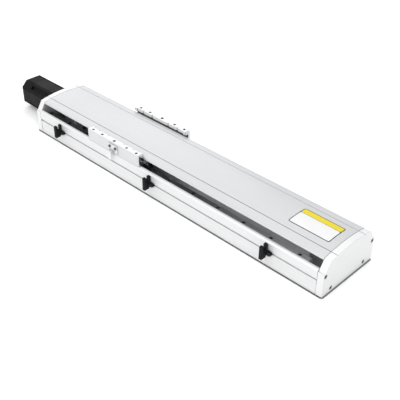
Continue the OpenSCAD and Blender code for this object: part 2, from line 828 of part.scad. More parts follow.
// Toothed wheel between two flanges, around the origin along Z
module pulley(bore) {
    r = pulley_r - belt_u - seat;
    w = pulley_y1 - pulley_y0;
    difference() {
        union() {
            linear_extrude(w) difference() {
                circle(r = r);
                for (i = [0:pulley_teeth - 1]) rotate(90 + i*360/pulley_teeth)
                    translate([r, 0]) rotate(-90) tooth_space(0.15);
            }
            for (z = [0, w - pulley_flange + 0.15]) translate([0, 0, z])
                cylinder(h = pulley_flange - 0.15, r = flange_r);
        }
        translate([0, 0, -e]) cylinder(h = w + 2*e, r = bore);
    }
}

module drive_pulley() {
    color(MACHINED) translate([drive_x, pulley_y1, axis_z]) rotate([90, 0, 0]) pulley(shaft_r);
}

module idler_pulley() {
    color(MACHINED) translate([idler_x, pulley_y1, axis_z]) rotate([90, 0, 0]) difference() {
        pulley(shaft_r + 1);
        for (z = [-e, pulley_y1 - pulley_y0 - 4.5])
            translate([0, 0, z]) cylinder(h = 4.5 + e, r = 8 + run);
    }
}

module idler_bearings() {
    color(STEEL) for (y = [pulley_y0 + 4.5, pulley_y1]) translate([idler_x, y, axis_z])
        rotate([90, 0, 0]) bearing(8, shaft_r, 4.5);
}

module idler_axle() {
    l = pulley_y1 - pulley_y0 + 2*(fork_in + fork_t) - 1;
    color(STEEL) rod_y(pulley_y0 - fork_in - fork_t + 0.5, l, idler_x, axis_z, shaft_r);
}

// ---------- bevel stage ----------

function involute(rb, r) = let (a = acos(min(1, rb/r))) tan(a) - a*PI/180;

// Half width of a tooth, in degrees around the gear, at distance s outside the pitch cone
function half_angle(z, delta, s, slack) =
    let (rv = gear_m*z/2/cos(delta), rb = rv*cos(20), r = max(rv + s, rb + 0.001))
    (90/(z/cos(delta)) + (involute(rb, rv) - involute(rb, r))*180/PI - slack)/cos(delta);

// Outline of a bevel gear's large end: z teeth on a pitch cone of half angle delta
function bevel_outline(z, delta) =
    let (
        r = gear_m*z/2, h = r/tan(delta), rv = r/cos(delta),
        slack = 0.09/rv*180/PI,
        ss = [-1.2*gear_m, -0.5*gear_m, 0, 0.5*gear_m, 0.95*gear_m]
    )
    [for (i = [0:z - 1], side = [-1, 1], k = [0:4])
        let (
            s = ss[side < 0 ? k : 4 - k],
            rr = (r + s*cos(delta))*h/(h - s*sin(delta)),
            a = i*360/z + side*half_angle(z, delta, s, slack)
        )
        [rr*cos(a), rr*sin(a)]];

// Bevel gear along +Z with its cone's tip at the origin and teeth between inner_k and 1
module bevel(z, delta, hub_r, hub_l, bore) {
    h = gear_m*z/2/tan(delta);
    root = gear_m*z/2 - 2.2*gear_m;
    difference() {
        union() {
            translate([0, 0, h*inner_k]) linear_extrude(height = h*(1 - inner_k), scale = 1/inner_k)
                scale(inner_k) polygon(bevel_outline(z, delta));
            translate([0, 0, h]) cylinder(h = 1.5, r = root);
            translate([0, 0, h + 1]) cylinder(h = hub_l - 1, r = hub_r);
        }
        translate([0, 0, -e]) cylinder(h = h + hub_l + 2*e, r = bore);
    }
}

gear_delta = atan(gear_teeth/pinion_teeth);

module bevel_gear() {
    color(STEEL) translate([drive_x, 0, axis_z]) rotate([-90, 0, 0]) rotate(180/gear_teeth + 180)
        bevel(gear_teeth, gear_delta, 9, gear_hub, shaft_r);
}

module bevel_pinion() {
    color(STEEL) translate([drive_x, 0, axis_z]) rotate([0, -90, 0]) rotate(0)
        bevel(pinion_teeth, 90 - gear_delta, 6.5, pinion_hub, shaft_r);
}

module pulley_shaft() {
    y0 = cheek_a + 1;
    color(STEEL) rod_y(y0, cheek_b + cheek - 1 - y0, drive_x, axis_z, shaft_r);
}

module shaft_collar() {
    color(MACHINED) difference() {
        rod_y(cheek_a + cheek + 0.3, pulley_y0 - cheek_a - cheek - 0.4, drive_x, axis_z, 6.5);
        rod_y(cheek_a, pulley_y0 - cheek_a + e, drive_x, axis_z, shaft_r);
    }
}

module pinion_shaft() {
    x0 = hub_x0 + hub_l + spider_l;
    color(STEEL) rod_x(x0, pinion_x + 2 - x0, 0, axis_z, shaft_r);
}

house_bolts = [
    for (x = [house_x0 + 4, house_x1 - 4], y = [cheek_a + 3.5, cheek_b + cheek - 3.5]) [x, y]
];

module drive_housing() {
    y0 = cheek_a;
    y1 = cheek_b + cheek;
    color(MACHINED) difference() {
        box(house_x0, house_x1, y0, y1, floor_t, house_top);
        // room for the gears and the belt, open on top and towards the tail
        box(house_x0 + wall_b, house_x1 + e, cheek_a + cheek, cheek_b, house_base, house_top + e);
        // lighter cheeks: the tops slope away from the shaft
        along_y(y0 - e, y1 - y0 + 2*e) polygon([
            [house_x1 - 5, house_top + e], [house_x1 + e, house_top + e], [house_x1 + e, house_top - 6]
        ]);
        rod_y(y0 - e, y1 - y0 + 2*e, drive_x, axis_z, bearing_d/2 + fit);
        rod_x(house_x0 - e, wall_b + 2*e, 0, axis_z, bearing_d/2 + fit);
        for (p = house_bolts) {
            rod_z(floor_t - e, house_top, p[0], p[1], 2.15);
            rod_z(house_base + 3, house_top, p[0], p[1], 3.7);
        }
    }
}

module drive_housing_screws() {
    color(DARK) for (p = house_bolts)
        translate([p[0], p[1], house_base + 3]) cap_screw(3.2, house_base + 3 - blind, 3.5);
}

module pulley_shaft_bearings() {
    color(STEEL) for (y = [cheek_a + cheek - 0.5, cheek_b + 0.5 + bearing_w])
        translate([drive_x, y, axis_z]) rotate([90, 0, 0])
            bearing(bearing_d/2, shaft_r + run, bearing_w);
}

module pinion_shaft_bearings() {
    color(STEEL) for (x = [house_x0 + 0.5, house_x0 + wall_b - 0.5 - bearing_w])
        translate([x, 0, axis_z]) rotate([0, 90, 0])
            bearing(bearing_d/2, shaft_r + run, bearing_w);
}

// ---------- coupling ----------

// Coupling hub around the origin along +Z, with three jaws on its far face
module hub(bore, l) {
    difference() {
        cylinder(h = l + spider_l - 0.3, r = hub_r);
        for (i = [0:2]) rotate(60 + i*120) translate([0, 0, l]) linear_extrude(spider_l)
            wedge(40);
        translate([0, 0, l - 0.5]) cylinder(h = spider_l + e, r = 6.5);
        translate([0, 0, -e]) cylinder(h = l + spider_l + 2*e, r = bore);
        translate([0, -0.6, -e]) cube([hub_r + e, 1.2, l - 1.5 + e]);
    }
}

// Wedge around +X that reaches a degrees to each side
module wedge(a) {
    r = 2*hub_r;
    polygon([[0, 0], [r*cos(a), -r*sin(a)], [r, 0], [r*cos(a), r*sin(a)]]);
}

module motor_coupling_hub() {
    color(SILVER) translate([hub_x0, 0, axis_z]) rotate([0, 90, 0])
        hub(motor_shaft_d/2, hub_l);
}

module pinion_coupling_hub() {
    color(SILVER) translate([hub_x0 + 2*hub_l + spider_l, 0, axis_z]) rotate([0, -90, 0])
        hub(shaft_r, hub_l);
}

module coupling_spider() {
    color([0.75, 0.12, 0.1]) translate([hub_x0 + hub_l + 0.1, 0, axis_z]) rotate([0, 90, 0])
        difference() {
            cylinder(h = spider_l - 0.2, r = hub_r - 0.6);
            for (i = [0:5]) rotate(i*60) translate([0, 0, -e]) linear_extrude(spider_l + 2*e)
                difference() {
                    wedge(21);
                    circle(r = 5.8);
                }
            translate([0, 0, -e]) cylinder(h = spider_l + 2*e, r = 2);
        }
}

// ---------- motor ----------

module motor_square(w, c) {
    polygon([
        [-w/2, c - w/2], [c - w/2, -w/2], [w/2 - c, -w/2], [w/2, c - w/2],
        [w/2, w/2 - c], [w/2 - c, w/2], [c - w/2, w/2], [-w/2, w/2 - c]
    ]);
}

// The same outline with two narrow grooves in each side, as extruded housings have
module motor_section(w, c) {
    difference() {
        motor_square(w, c);
        for (turn = [0:90:270], s = [-1, 1]) rotate(turn)
            translate([s*(w/2 - c - rib_in) - rib_w/2, w/2 - rib_w]) square([rib_w, rib_w + e]);
    }
}

module motor_flange() {
    color(DARK) difference() {
        union() {
            translate([0, 0, axis_z]) along_x(flange_x0, flange_t) motor_square(motor_w, 5);
            rod_x(-end_x - e, 3 + e, 0, axis_z, pilot_d/2);
        }
        rod_x(flange_x0 - e, flange_t + 3 + 2*e, 0, axis_z, motor_shaft_d/2 + 1);
        for (a = [-1, 1], b = [-1, 1])
            rod_x(flange_x0 - e, flange_t + 2*e, a*mount_r, axis_z + b*mount_r, 2.75);
    }
}

module motor_body() {
    color(DARK) difference() {
        translate([0, 0, axis_z]) along_x(bell_x1, flange_x0 - bell_x1) motor_section(motor_w, motor_chamfer);
        // channels that let the mounting screws pass along the corners
        for (a = [-1, 1], b = [-1, 1])
            rod_x(bell_x1 + 2, flange_x0 - bell_x1, a*mount_r, axis_z + b*mount_r, 5.2);
        rod_x(flange_x0 - shaft_in - 1, shaft_in + 1 + e, 0, axis_z, motor_shaft_d/2 + 1);
    }
}

module motor_rear_cover() {
    c = motor_chamfer;
    w = motor_w;
    color(DARK) difference() {
        union() {
            translate([0, 0, axis_z]) along_x(motor_x0 + 2, bell_l - 2) motor_section(w, c);
            translate([0, 0, axis_z]) along_x(motor_x0, 2 + e/2) motor_square(w - 3, c - 0.6);
        }
        // parting groove against the body, and the rear screws' seats
        translate([0, 0, axis_z]) along_x(bell_x1 - 1.2, 0.8) difference() {
            square(w + 2, center = true);
            motor_square(w - 1.6, c - 0.3);
        }
        for (a = [-1, 1], b = [-1, 1])
            rod_x(motor_x0 - e, 3 + e, a*(w/2 - 9.5), axis_z + b*(w/2 - 9.5), 3.2);
        for (x = gland_xs)
            rod_y(w/2 - 3, 3 + e, x, axis_z, 6.5);
    }
}

gland_xs = [motor_x0 + bell_l*0.72];

module motor_screws() {
    color(STEEL) for (a = [-1, 1], b = [-1, 1])
        translate([flange_x0, a*mount_r, axis_z + b*mount_r]) rotate([0, -90, 0])
            cap_screw(4.1, flange_t + 9, 4.2);
}

// Cable gland on the motor's far side
module motor_cable_glands() {
    color(BLACK) for (x = gland_xs) difference() {
        union() {
            rod_y(motor_w/2 - 3, 3.5, x, axis_z, 6.4);
            translate([x, motor_w/2 + 4, axis_z]) rotate([90, 0, 0]) cylinder(h = 4, r = 7.8, $fn = 6);
            translate([x, motor_w/2 + 10, axis_z]) rotate([90, 0, 0]) cylinder(h = 6.5, r1 = 4.5, r2 = 6.5);
        }
        rod_y(motor_w/2 - 2, 20, x, axis_z, 2.6);
    }
}

module motor_shaft() {
    color(STEEL) rod_x(flange_x0 - shaft_in, hub_x0 + hub_l - flange_x0 + shaft_in, 0, axis_z,
        motor_shaft_d/2);
}

// ---------- idler end ----------

fork_ya = pulley_y0 - fork_in - fork_t;
fork_yb = pulley_y1 + fork_in + fork_t;
fork_bolts = [for (y = [belt_y - 10, belt_y + 10]) [fork_x1 + 5, y]];
tension_ys = [belt_y - 6, belt_y + 6];

module idler_bracket() {
    color(MACHINED) difference() {
        union() {
            box(idler_x - 9, fork_x1, fork_ya, fork_yb, floor_t, fork_top);
            box(fork_x1 - e/2, fork_x1 + 10, fork_ya + 2, fork_yb - 2, floor_t, floor_t + 5);
        }
        box(idler_x - 9 - e, fork_in_x, pulley_y0 - fork_in, pulley_y1 + fork_in,
            floor_t + 5, fork_top + e);
        along_y(fork_ya - e, fork_yb - fork_ya + 2*e) polygon([
            [idler_x - 9 - e, fork_top + e], [idler_x - 3, fork_top + e], [idler_x - 9 - e, fork_top - 5]
        ]);
        rod_y(fork_ya - e, fork_yb - fork_ya + 2*e, idler_x, axis_z, shaft_r);
        for (y = tension_ys)
            rod_x(fork_in_x - e, fork_x1 - fork_in_x + 2*e, y, axis_z - 6, 2.2);
        // slots for the clamping screws
        for (p = fork_bolts) {
            for (dx = [-2, 2]) rod_z(floor_t - e, 5 + 2*e, p[0] + dx, p[1], 2.2);
            box(p[0] - 2, p[0] + 2, p[1] - 2.2, p[1] + 2.2, floor_t - e, floor_t + 5 + e);
        }
    }
}

// Screws that pull the idler bracket towards the tail plate
module tension_screws() {
    color(DARK) for (y = tension_ys)
        translate([fork_in_x, y, axis_z - 6]) rotate([0, -90, 0]) union() {
            cylinder(h = 3, r = 3.9, $fn = 6);
            translate([0, 0, fork_in_x - inner_x - 6]) cylinder(h = inner_x + 6.5 - fork_in_x, r = 2);
        }
}

module idler_clamp_screws() {
    color(DARK) for (p = fork_bolts)
        translate([p[0], p[1], floor_t + 5]) cap_screw(3.2, 11, 3.5);
}

// ---------- buffers ----------

module motor_side_buffers() {
    color(BLACK) for (a = [-1, 1]) union() {
        rod_x(-inner_x, pad_t, a*buffer_y, buffer_z, 4);
        rod_x(-inner_x - 4, 4.5, a*buffer_y, buffer_z, 1.5);
    }
}

module tail_stop_posts() {
    l = stop_l - rubber_l;
    color(STEEL) for (a = [-1, 1]) union() {
        rod_x(inner_x - l, l, a*buffer_y, buffer_z, 4);
        rod_x(inner_x - e/2, 5, a*buffer_y, buffer_z, 2);
        rod_x(inner_x - l - 4, 4 + e/2, a*buffer_y, buffer_z, 1.5);
    }
}

module tail_buffers() {
    color(BLACK) for (a = [-1, 1]) difference() {
        rod_x(inner_x - stop_l, rubber_l, a*buffer_y, buffer_z, 4.2);
        rod_x(inner_x - stop_l + rubber_l - 4, 4 + e, a*buffer_y, buffer_z, 1.5);
    }
}

// ---------- sensors ----------

// Fork sensor beside the body at x; its gap opens upwards and runs along the travel
module sensor(x) {
    y0 = sensor_y - sensor_d;
    color(BLACK) difference() {
        union() {
            along_x(x - sensor_t/2, sensor_t) polygon([
                [sensor_y, sensor_z + 2.5], [sensor_y, sensor_top],
                [sensor_y - slot_mid + sensor_gap/2 + 0.6, sensor_top],
                [sensor_y - slot_mid + sensor_gap/2, sensor_top - 0.8],
                [sensor_y - slot_mid + sensor_gap/2, sensor_top - 10],
                [sensor_y - slot_mid - sensor_gap/2, sensor_top - 10],
                [sensor_y - slot_mid - sensor_gap/2, sensor_top - 0.8],
                [sensor_y - slot_mid - sensor_gap/2 - 0.6, sensor_top],
                [y0 + 0.8, sensor_top], [y0, sensor_top - 0.8], [y0, sensor_z], [sensor_y - 4, sensor_z],
                [sensor_y - 4, sensor_z + 2.5]
            ]);
            // foot with a round end, screwed into the side slot
            along_y(sensor_y - 4.5, 4.5) union() {
                translate([x, slot_z - foot_w/2]) square([foot_l - foot_w/2, foot_w]);
                translate([x + foot_l - foot_w/2, slot_z]) circle(d = foot_w);
            }
        }
        rod_y(sensor_y - 4.5 - e, 4.5 + 2*e, x + foot_l - foot_w/2, slot_z, 1.6);
    }
}

module motor_limit_sensor() {
    sensor(sensor_motor_x);
}

module home_sensor() {
    sensor(sensor_home_x);
}

module tail_limit_sensor() {
    sensor(sensor_tail_x);
}

sensor_xs = [sensor_motor_x, sensor_home_x, sensor_tail_x];

module sensor_screws() {
    color(STEEL) for (x = sensor_xs)
        translate([x + foot_l - foot_w/2, sensor_y - 4.5, slot_z]) rotate([90, 0, 0]) difference() {
            union() {
                cylinder(h = 1.9, r = 2.75);
                translate([0, 0, -7.4]) cylinder(h = 7.9, r = 1.45);
            }
            translate([0, 0, 0.7]) cylinder(h = 2, r = 1.2, $fn = 6);
        }
}

module sensor_nuts() {
    color(STEEL) for (x = sensor_xs) translate([x + foot_l - foot_w/2, -hw, slot_z]) difference() {
        translate([-4, 1.7, -2.4]) cube([8, 1.8, 4.8]);
        rotate([-90, 0, 0]) cylinder(h = 10, r = 1.45);
    }
}

flag_screw_xs = [flag_x - 8, flag_x + 8];
flag_screw_z = flag_z + 10.5;

// Bent sheet flag on the table's front side: a plate, and a blade that hangs in the sensors' gaps
module sensor_flag() {
    x0 = flag_x - flag_w/2;
    b0 = blade_x - blade_w/2;
    z1 = flag_z + flag_h;
    r = 3.5;
    fold = flag_z + 4;
    color([0.88, 0.88, 0.9]) difference() {
        union() {
            along_y(-hw - flag_t, flag_t) union() {
                translate([x0, flag_z]) square([flag_w, flag_h - r]);
                translate([x0 + r, flag_z]) square([flag_w - 2*r, flag_h]);
                for (x = [x0 + r, x0 + flag_w - r]) translate([x, z1 - r]) circle(r = r);
            }
            box(b0, b0 + blade_w, blade_y - flag_t/2, -hw - flag_t/2, fold - flag_t, fold);
            box(b0, b0 + blade_w, blade_y - flag_t/2, blade_y + flag_t/2, blade_z0, fold);
        }
        // relief slits beside the folded blade
        for (x = [b0 - 1, b0 + blade_w])
            box(x, x + 1, -hw - 2*flag_t, -hw + e, flag_z - e, fold + 1);
        for (x = flag_screw_xs) rod_y(-hw - 2*flag_t, 3*flag_t, x, flag_screw_z, 1.7);
    }
}

module flag_screws() {
    color(STEEL) for (x = flag_screw_xs)
        translate([x, -hw - flag_t, flag_screw_z]) rotate([90, 0, 0]) difference() {
            union() {
                cylinder(h = 1.9, r = 2.75);
                translate([0, 0, -flag_t - 3.5]) cylinder(h = flag_t + 4, r = 1.2);
            }
            translate([0, 0, 0.7]) cylinder(h = 2, r = 1.2, $fn = 6);
        }
}

base_extrusion();
top_cover();
motor_end_plate();
tail_end_plate();
end_plate_screws();
front_guide_rail();
rear_guide_rail();
rail_screws();
drive_housing();
drive_housing_screws();
pulley_shaft_bearings();
pinion_shaft_bearings();
motor_flange();
motor_body();
motor_rear_cover();
motor_screws();
motor_cable_glands();
idler_bracket();
idler_axle();
idler_bearings();
tension_screws();
idler_clamp_screws();
timing_belt();
motor_side_buffers();
tail_stop_posts();
tail_buffers();
motor_limit_sensor();
home_sensor();
tail_limit_sensor();
sensor_screws();
sensor_nuts();
carriage_table();
guide_block_front_motor();
guide_block_front_tail();
guide_block_rear_motor();
guide_block_rear_tail();
block_end_seals();
block_screws();
belt_clamp_block();
belt_clamp_plate();
belt_clamp_screws();
clamp_block_screws();
motor_side_end_cap();
tail_side_end_cap();
end_cap_screws();
sensor_flag();
flag_screws();
pulley_shaft();
drive_pulley();
bevel_gear();
shaft_collar();
bevel_pinion();
pinion_shaft();
pinion_coupling_hub();
coupling_spider();
motor_coupling_hub();
motor_shaft();
idler_pulley();
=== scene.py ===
import bpy
import bmesh
import math
from collections import namedtuple
from mathutils import Matrix, Vector


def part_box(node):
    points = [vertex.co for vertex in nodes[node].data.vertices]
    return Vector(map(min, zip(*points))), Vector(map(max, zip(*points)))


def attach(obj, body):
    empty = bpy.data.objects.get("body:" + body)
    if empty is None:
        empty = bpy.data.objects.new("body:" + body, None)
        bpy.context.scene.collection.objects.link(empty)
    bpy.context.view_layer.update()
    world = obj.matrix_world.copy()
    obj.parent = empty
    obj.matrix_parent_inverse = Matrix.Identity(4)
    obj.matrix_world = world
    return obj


MM = 0.001

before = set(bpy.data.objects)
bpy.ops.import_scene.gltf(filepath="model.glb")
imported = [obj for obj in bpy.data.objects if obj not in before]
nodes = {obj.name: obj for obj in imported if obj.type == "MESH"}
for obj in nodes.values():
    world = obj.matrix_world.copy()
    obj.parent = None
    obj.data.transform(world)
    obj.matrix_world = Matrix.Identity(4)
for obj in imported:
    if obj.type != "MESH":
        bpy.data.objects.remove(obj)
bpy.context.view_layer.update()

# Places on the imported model. The motor is at -X, the tail at +X, the table's arms at -Y and +Y.
body_lo, body_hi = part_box("base_extrusion")
cover_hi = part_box("top_cover")[1]
table_lo, table_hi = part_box("carriage_table")
motor_lo, motor_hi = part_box("motor_rear_cover")
motor_axis_z = (motor_lo.z + motor_hi.z) / 2
body_ends = (body_lo.x - MM, body_hi.x + MM)


# ------------------------------------------------------------ shader nodes

BEVEL_SAMPLES = 4
CAVITY_SAMPLES = 6
FLOOR_SAMPLES = 8


def shade(color, tone, lift=0.0):
    """The colour made lighter, with a tone over 1, or darker."""
    return tuple(min(1.0, c * tone + lift) for c in color)


class Graph:
    """Builds the shader tree of a material or a world."""

    def __init__(self, owner):
        owner.use_nodes = True
        self.tree = owner.node_tree
        self.tree.nodes.clear()

    def new(self, kind, **settings):
        """Adds a node. The settings are its attributes."""
        node = self.tree.nodes.new("ShaderNode" + kind)
        for key, value in settings.items():
            setattr(node, key, value)
        return node

    def feed(self, source, socket):
        """Links an input to another node's output, or sets it to a number or a colour."""
        if isinstance(source, (int, float)):
            socket.default_value = source
        elif isinstance(source, tuple):
            socket.default_value = (*source, 1)
        else:
            self.tree.links.new(source, socket)

    def math(self, operation, a, b=0.0):
        node = self.new("Math", operation=operation)
        self.feed(a, node.inputs[0])
        self.feed(b, node.inputs[1])
        return node.outputs[0]

    def span(self, value, out_lo, out_hi, in_lo=0.3, in_hi=0.7):
        """Maps the range in_lo to in_hi onto out_lo to out_hi and holds the ends."""
        node = self.new("MapRange")
        for key, source in (("Value", value), ("From Min", in_lo), ("From Max", in_hi),
                            ("To Min", out_lo), ("To Max", out_hi)):
            self.feed(source, node.inputs[key])
        return node.outputs[0]

    def mix(self, factor, a, b):
        """Blends from colour a to colour b."""
        node = self.new("Mix", data_type="RGBA")
        self.feed(factor, node.inputs["Factor"])
        ends = [socket for socket in node.inputs if socket.type == "RGBA"]
        self.feed(a, ends[0])
        self.feed(b, ends[1])
        return [socket for socket in node.outputs if socket.type == "RGBA"][0]

    def occlusion(self, distance, samples):
        """Falls from 1 in the open to 0 where other faces are near."""
        node = self.new("AmbientOcclusion", samples=samples)
        self.feed(distance, node.inputs["Distance"])
        return node.outputs["AO"]

    def not_diffuse(self):
        """1 for what the eye, a mirror or a glass sees, 0 for the light that falls on a surface."""
        path = self.new("LightPath")
        seen = self.math("MAXIMUM", path.outputs["Is Camera Ray"], path.outputs["Is Transmission Ray"])
        return self.math("MAXIMUM", seen, path.outputs["Is Glossy Ray"])


class Surface(Graph):
    """A Principled material whose colour is painted in layers."""

    def __init__(self, name, color, rough, metal=0.0, spec=0.5):
        self.material = bpy.data.materials.new(name)
        super().__init__(self.material)
        self.color = color
        self.paint = color
        self.coord = self.new("TexCoord")
        self.shader = self.new("BsdfPrincipled")
        self.set("Roughness", rough)
        self.set("Metallic", metal)
        self.set("Specular IOR Level", spec)
        self.feed(self.shader.outputs[0], self.new("OutputMaterial").inputs["Surface"])

    def set(self, key, source):
        self.feed(source, self.shader.inputs[key])

    def vary(self, factor, contrast):
        """Starts the paint with the base colour, a little darker and lighter by the factor."""
        self.paint = self.mix(factor, shade(self.color, 1 - contrast), shade(self.color, 1 + contrast))

    def lay(self, factor, color, share=1.0):
        """Lays a colour over the paint, as strong as the factor times the share."""
        self.paint = self.mix(self.math("MULTIPLY", factor, share), self.paint, color)

    def tint(self, factor, tone, share=1.0, lift=0.0):
        """Lays a lighter or darker shade of the base colour over the paint."""
        self.lay(factor, shade(self.color, tone, lift), share)

    def axis(self, name):
        """Object coordinate along X, Y or Z."""
        node = self.new("SeparateXYZ")
        self.feed(self.coord.outputs["Object"], node.inputs[0])
        return node.outputs[name]

    def noise(self, scale, detail, stretch=(1, 1, 1), rough=0.55):
        mapping = self.new("Mapping")
        mapping.inputs["Scale"].default_value = stretch
        self.feed(self.coord.outputs["Object"], mapping.inputs["Vector"])
        node = self.new("TexNoise")
        for key, source in (("Vector", mapping.outputs[0]), ("Scale", scale), ("Detail", detail),
                            ("Roughness", rough)):
            self.feed(source, node.inputs[key])
        return node.outputs["Fac"]

    def edge(self, radius):
        """Normal with rounded edges, and a factor that rises on outer edges."""
        bevel = self.new("Bevel", samples=BEVEL_SAMPLES)
        self.feed(radius, bevel.inputs["Radius"])
        dot = self.new("VectorMath", operation="DOT_PRODUCT")
        self.feed(bevel.outputs[0], dot.inputs[0])
        self.feed(self.new("NewGeometry").outputs["Normal"], dot.inputs[1])
        return bevel.outputs[0], self.span(dot.outputs["Value"], 1.0, 0.0, in_lo=0.75, in_hi=0.99)

    def cavity(self, reach):
        """Factor that rises in seams, slots and inner corners narrower than the reach."""
        return self.span(self.occlusion(reach, CAVITY_SAMPLES), 1.0, 0.0, in_lo=0.25, in_hi=0.95)

    def twin_lines(self, across, place, half):
        """Factor that is 1 on the lines at across = +-place and fades out half away from them."""
        off = self.math("ABSOLUTE", self.math("SUBTRACT", self.math("ABSOLUTE", across), place))
        return self.span(off, 1.0, 0.0, in_lo=0.3 * half, in_hi=half)

    def finish(self, rough, relief, strength, height, normal):
        """Sets the painted colour, the roughness and the relief, and gives the material."""
        node = self.new("Bump")
        for key, source in (("Height", relief), ("Strength", strength), ("Distance", height),
                            ("Normal", normal)):
            self.feed(source, node.inputs[key])
        self.set("Base Color", self.paint)
        self.set("Roughness", rough)
        self.set("Normal", node.outputs[0])
        return self.material


# ------------------------------------------------------------ finishes

# What a finish is made of. A share is the strength of a mark, from 0 to 1. A tone says how light
# the mark is against the base colour. Lengths are in metres.
Lines = namedtuple("Lines", "stretch scale contrast depth")  # stretch is large across the lines
Grain = namedtuple("Grain", "scale depth")
# An Edge's radius rounds the outer edges; its share and tone paint a highlight there, or a shade line where
# the tone is under 1.
Edge = namedtuple("Edge", "radius share tone")               # outer edges
Seam = namedtuple("Seam", "share reach")                     # painted shade in gaps narrower than the reach
PaintedTopLight = namedtuple("PaintedTopLight", "height color")                    # painted light: a lighter colour on faces above the height
GrooveShade = namedtuple("GrooveShade", "place half front rear")         # painted shade: two dark lines along X in the cover's grooves, with their shares
ChamferShade = namedtuple("ChamferShade", "place half share")            # painted shade: two dark lines beside each motor chamfer
Dull = namedtuple("Dull", "start end")                       # stretch of X over which a shine fades
# Painted shade in the hollows whose X or Y, as axis says, is nearer to the middle than the limit and
# that lie below the top. Its share changes evenly from the motor end to the tail end.
HollowShade = namedtuple("HollowShade", "axis limit motor_end tail_end top")

# brushed finishes
ANYWHERE = 1.0
LINE_HEIGHT = 0.2 * MM
CLOUD_TONE, CLOUD_SHARE = 0.94, 0.25
# painted shade towards the tail end
TAIL_TONE, TAIL_START = 0.7, -100 * MM
# painted shade in the cover's grooves
GROOVE_SHADE_TONE, GROOVE_SHADE_FADE = 0.3, 10 * MM
# painted shade in hollows: its tone and the reach of its occlusion
HOLLOW_SHADE_TONE, HOLLOW_SHADE_REACH = 0.10, 30 * MM
# painted shade in gaps
GAP_SHADE_TONE = 0.16
DULL_METAL, DULL_ROUGH = 0.35, 0.18

# moulded finishes
GRAIN_HEIGHT = 0.1 * MM
# painted highlight on the outer edges of moulded finishes
PALE_TONE, PALE_SHARE, PALE_LIFT = 1.6, 0.5, 0.02
DARK_TONE, DARK_SPEC = 0.1, 0.02


def brushed(name, color, rough, metal, lines, edge=Edge(0.3 * MM, 0.35, 1.15), painted_top_light=None, tail=0.0,
            groove_shade=None, hollow_shade=None, gap_shade=None, dull=None):
    """Metal with fine lines. tail is the share of a painted shade that grows towards the tail end."""
    surface = Surface(name, color, rough, metal)
    streaks = surface.noise(lines.scale, 4, lines.stretch, 0.7)
    clouds = surface.noise(9, 3)
    normal, outer_edge = surface.edge(edge.radius)
    surface.vary(surface.span(streaks, 0, 1), lines.contrast)
    surface.tint(surface.span(clouds, 0, 1), CLOUD_TONE, CLOUD_SHARE)
    # painted light: faces above the height get a lighter colour
    if painted_top_light:
        surface.lay(surface.math("GREATER_THAN", surface.axis("Z"), painted_top_light.height), painted_top_light.color)
    # painted highlight on outer edges, or a painted shade line where the edge tone is under 1
    surface.tint(outer_edge, edge.tone, edge.share)
    # painted shade, growing towards the tail end
    if tail:
        surface.tint(surface.span(surface.axis("X"), 0.0, tail, TAIL_START, body_ends[1]), TAIL_TONE)
    # painted shade in the cover's grooves, strong at the front and none at the rear
    if groove_shade:
        along = surface.twin_lines(surface.axis("Y"), groove_shade.place, groove_shade.half)
        share = surface.span(surface.axis("Y"), groove_shade.front, groove_shade.rear, -GROOVE_SHADE_FADE, GROOVE_SHADE_FADE)
        surface.tint(along, GROOVE_SHADE_TONE, share)
    # painted shade in the hollows, as strong as the share set for each end
    if hollow_shade:
        near = surface.math("LESS_THAN", surface.math("ABSOLUTE", surface.axis(hollow_shade.axis)), hollow_shade.limit)
        low = surface.math("LESS_THAN", surface.axis("Z"), hollow_shade.top)
        hollow = surface.math("MULTIPLY", surface.cavity(HOLLOW_SHADE_REACH), surface.math("MULTIPLY", near, low))
        share = surface.span(surface.axis("X"), hollow_shade.motor_end, hollow_shade.tail_end, *body_ends)
        surface.tint(hollow, HOLLOW_SHADE_TONE, share)
    # painted shade in gaps and inner corners narrower than the reach
    if gap_shade:
        surface.tint(surface.cavity(gap_shade.reach), GAP_SHADE_TONE, gap_shade.share)
    matt = surface.math("ADD", surface.span(streaks, rough - 0.05, rough + 0.07),
                        surface.span(clouds, -0.03, 0.03))
    if dull:
        surface.set("Metallic", surface.span(surface.axis("X"), metal, DULL_METAL, *dull))
        matt = surface.math("ADD", matt, surface.span(surface.axis("X"), 0.0, DULL_ROUGH, *dull))
    return surface.finish(matt, streaks, lines.depth, LINE_HEIGHT, normal)


def moulded(name, color, rough, grain=Grain(2600, 0.25), radius=0.3 * MM, spec=0.4, contrast=0.12,
            gap_shade=None, corner=None):
    """Plastic, rubber, print or a coating, with a fine grain."""
    surface = Surface(name, color, rough, 0.0, spec)
    fine = surface.noise(grain.scale, 2)
    clouds = surface.noise(40, 4)
    normal, outer_edge = surface.edge(radius)
    surface.vary(surface.span(clouds, 0, 1), contrast)
    # painted highlight: outer edges made paler
    surface.tint(outer_edge, PALE_TONE, PALE_SHARE, PALE_LIFT)
    # painted shade in gaps and pockets, with less specular there
    if gap_shade:
        deep = surface.math("MULTIPLY", surface.cavity(gap_shade.reach), gap_shade.share)
        surface.tint(deep, DARK_TONE)
        surface.set("Specular IOR Level", surface.span(deep, spec, DARK_SPEC, 0.0, 0.8))
    # painted shade: two dark lines beside each chamfer of the motor
    if corner:
        above = surface.math("ABSOLUTE", surface.math("SUBTRACT", surface.axis("Z"), motor_axis_z))
        across = surface.math("SUBTRACT", surface.math("ABSOLUTE", surface.axis("Y")), above)
        surface.tint(surface.twin_lines(across, corner.place, corner.half), DARK_TONE, corner.share)
    matt = surface.span(clouds, rough - 0.06, rough + 0.08)
    return surface.finish(matt, fine, grain.depth, GRAIN_HEIGHT, normal)


ALONG_X = (0.05, 12, 12)
EVEN = (8, 8, 8)
TURNED = Lines(EVEN, 200, 0.2, 0.08)
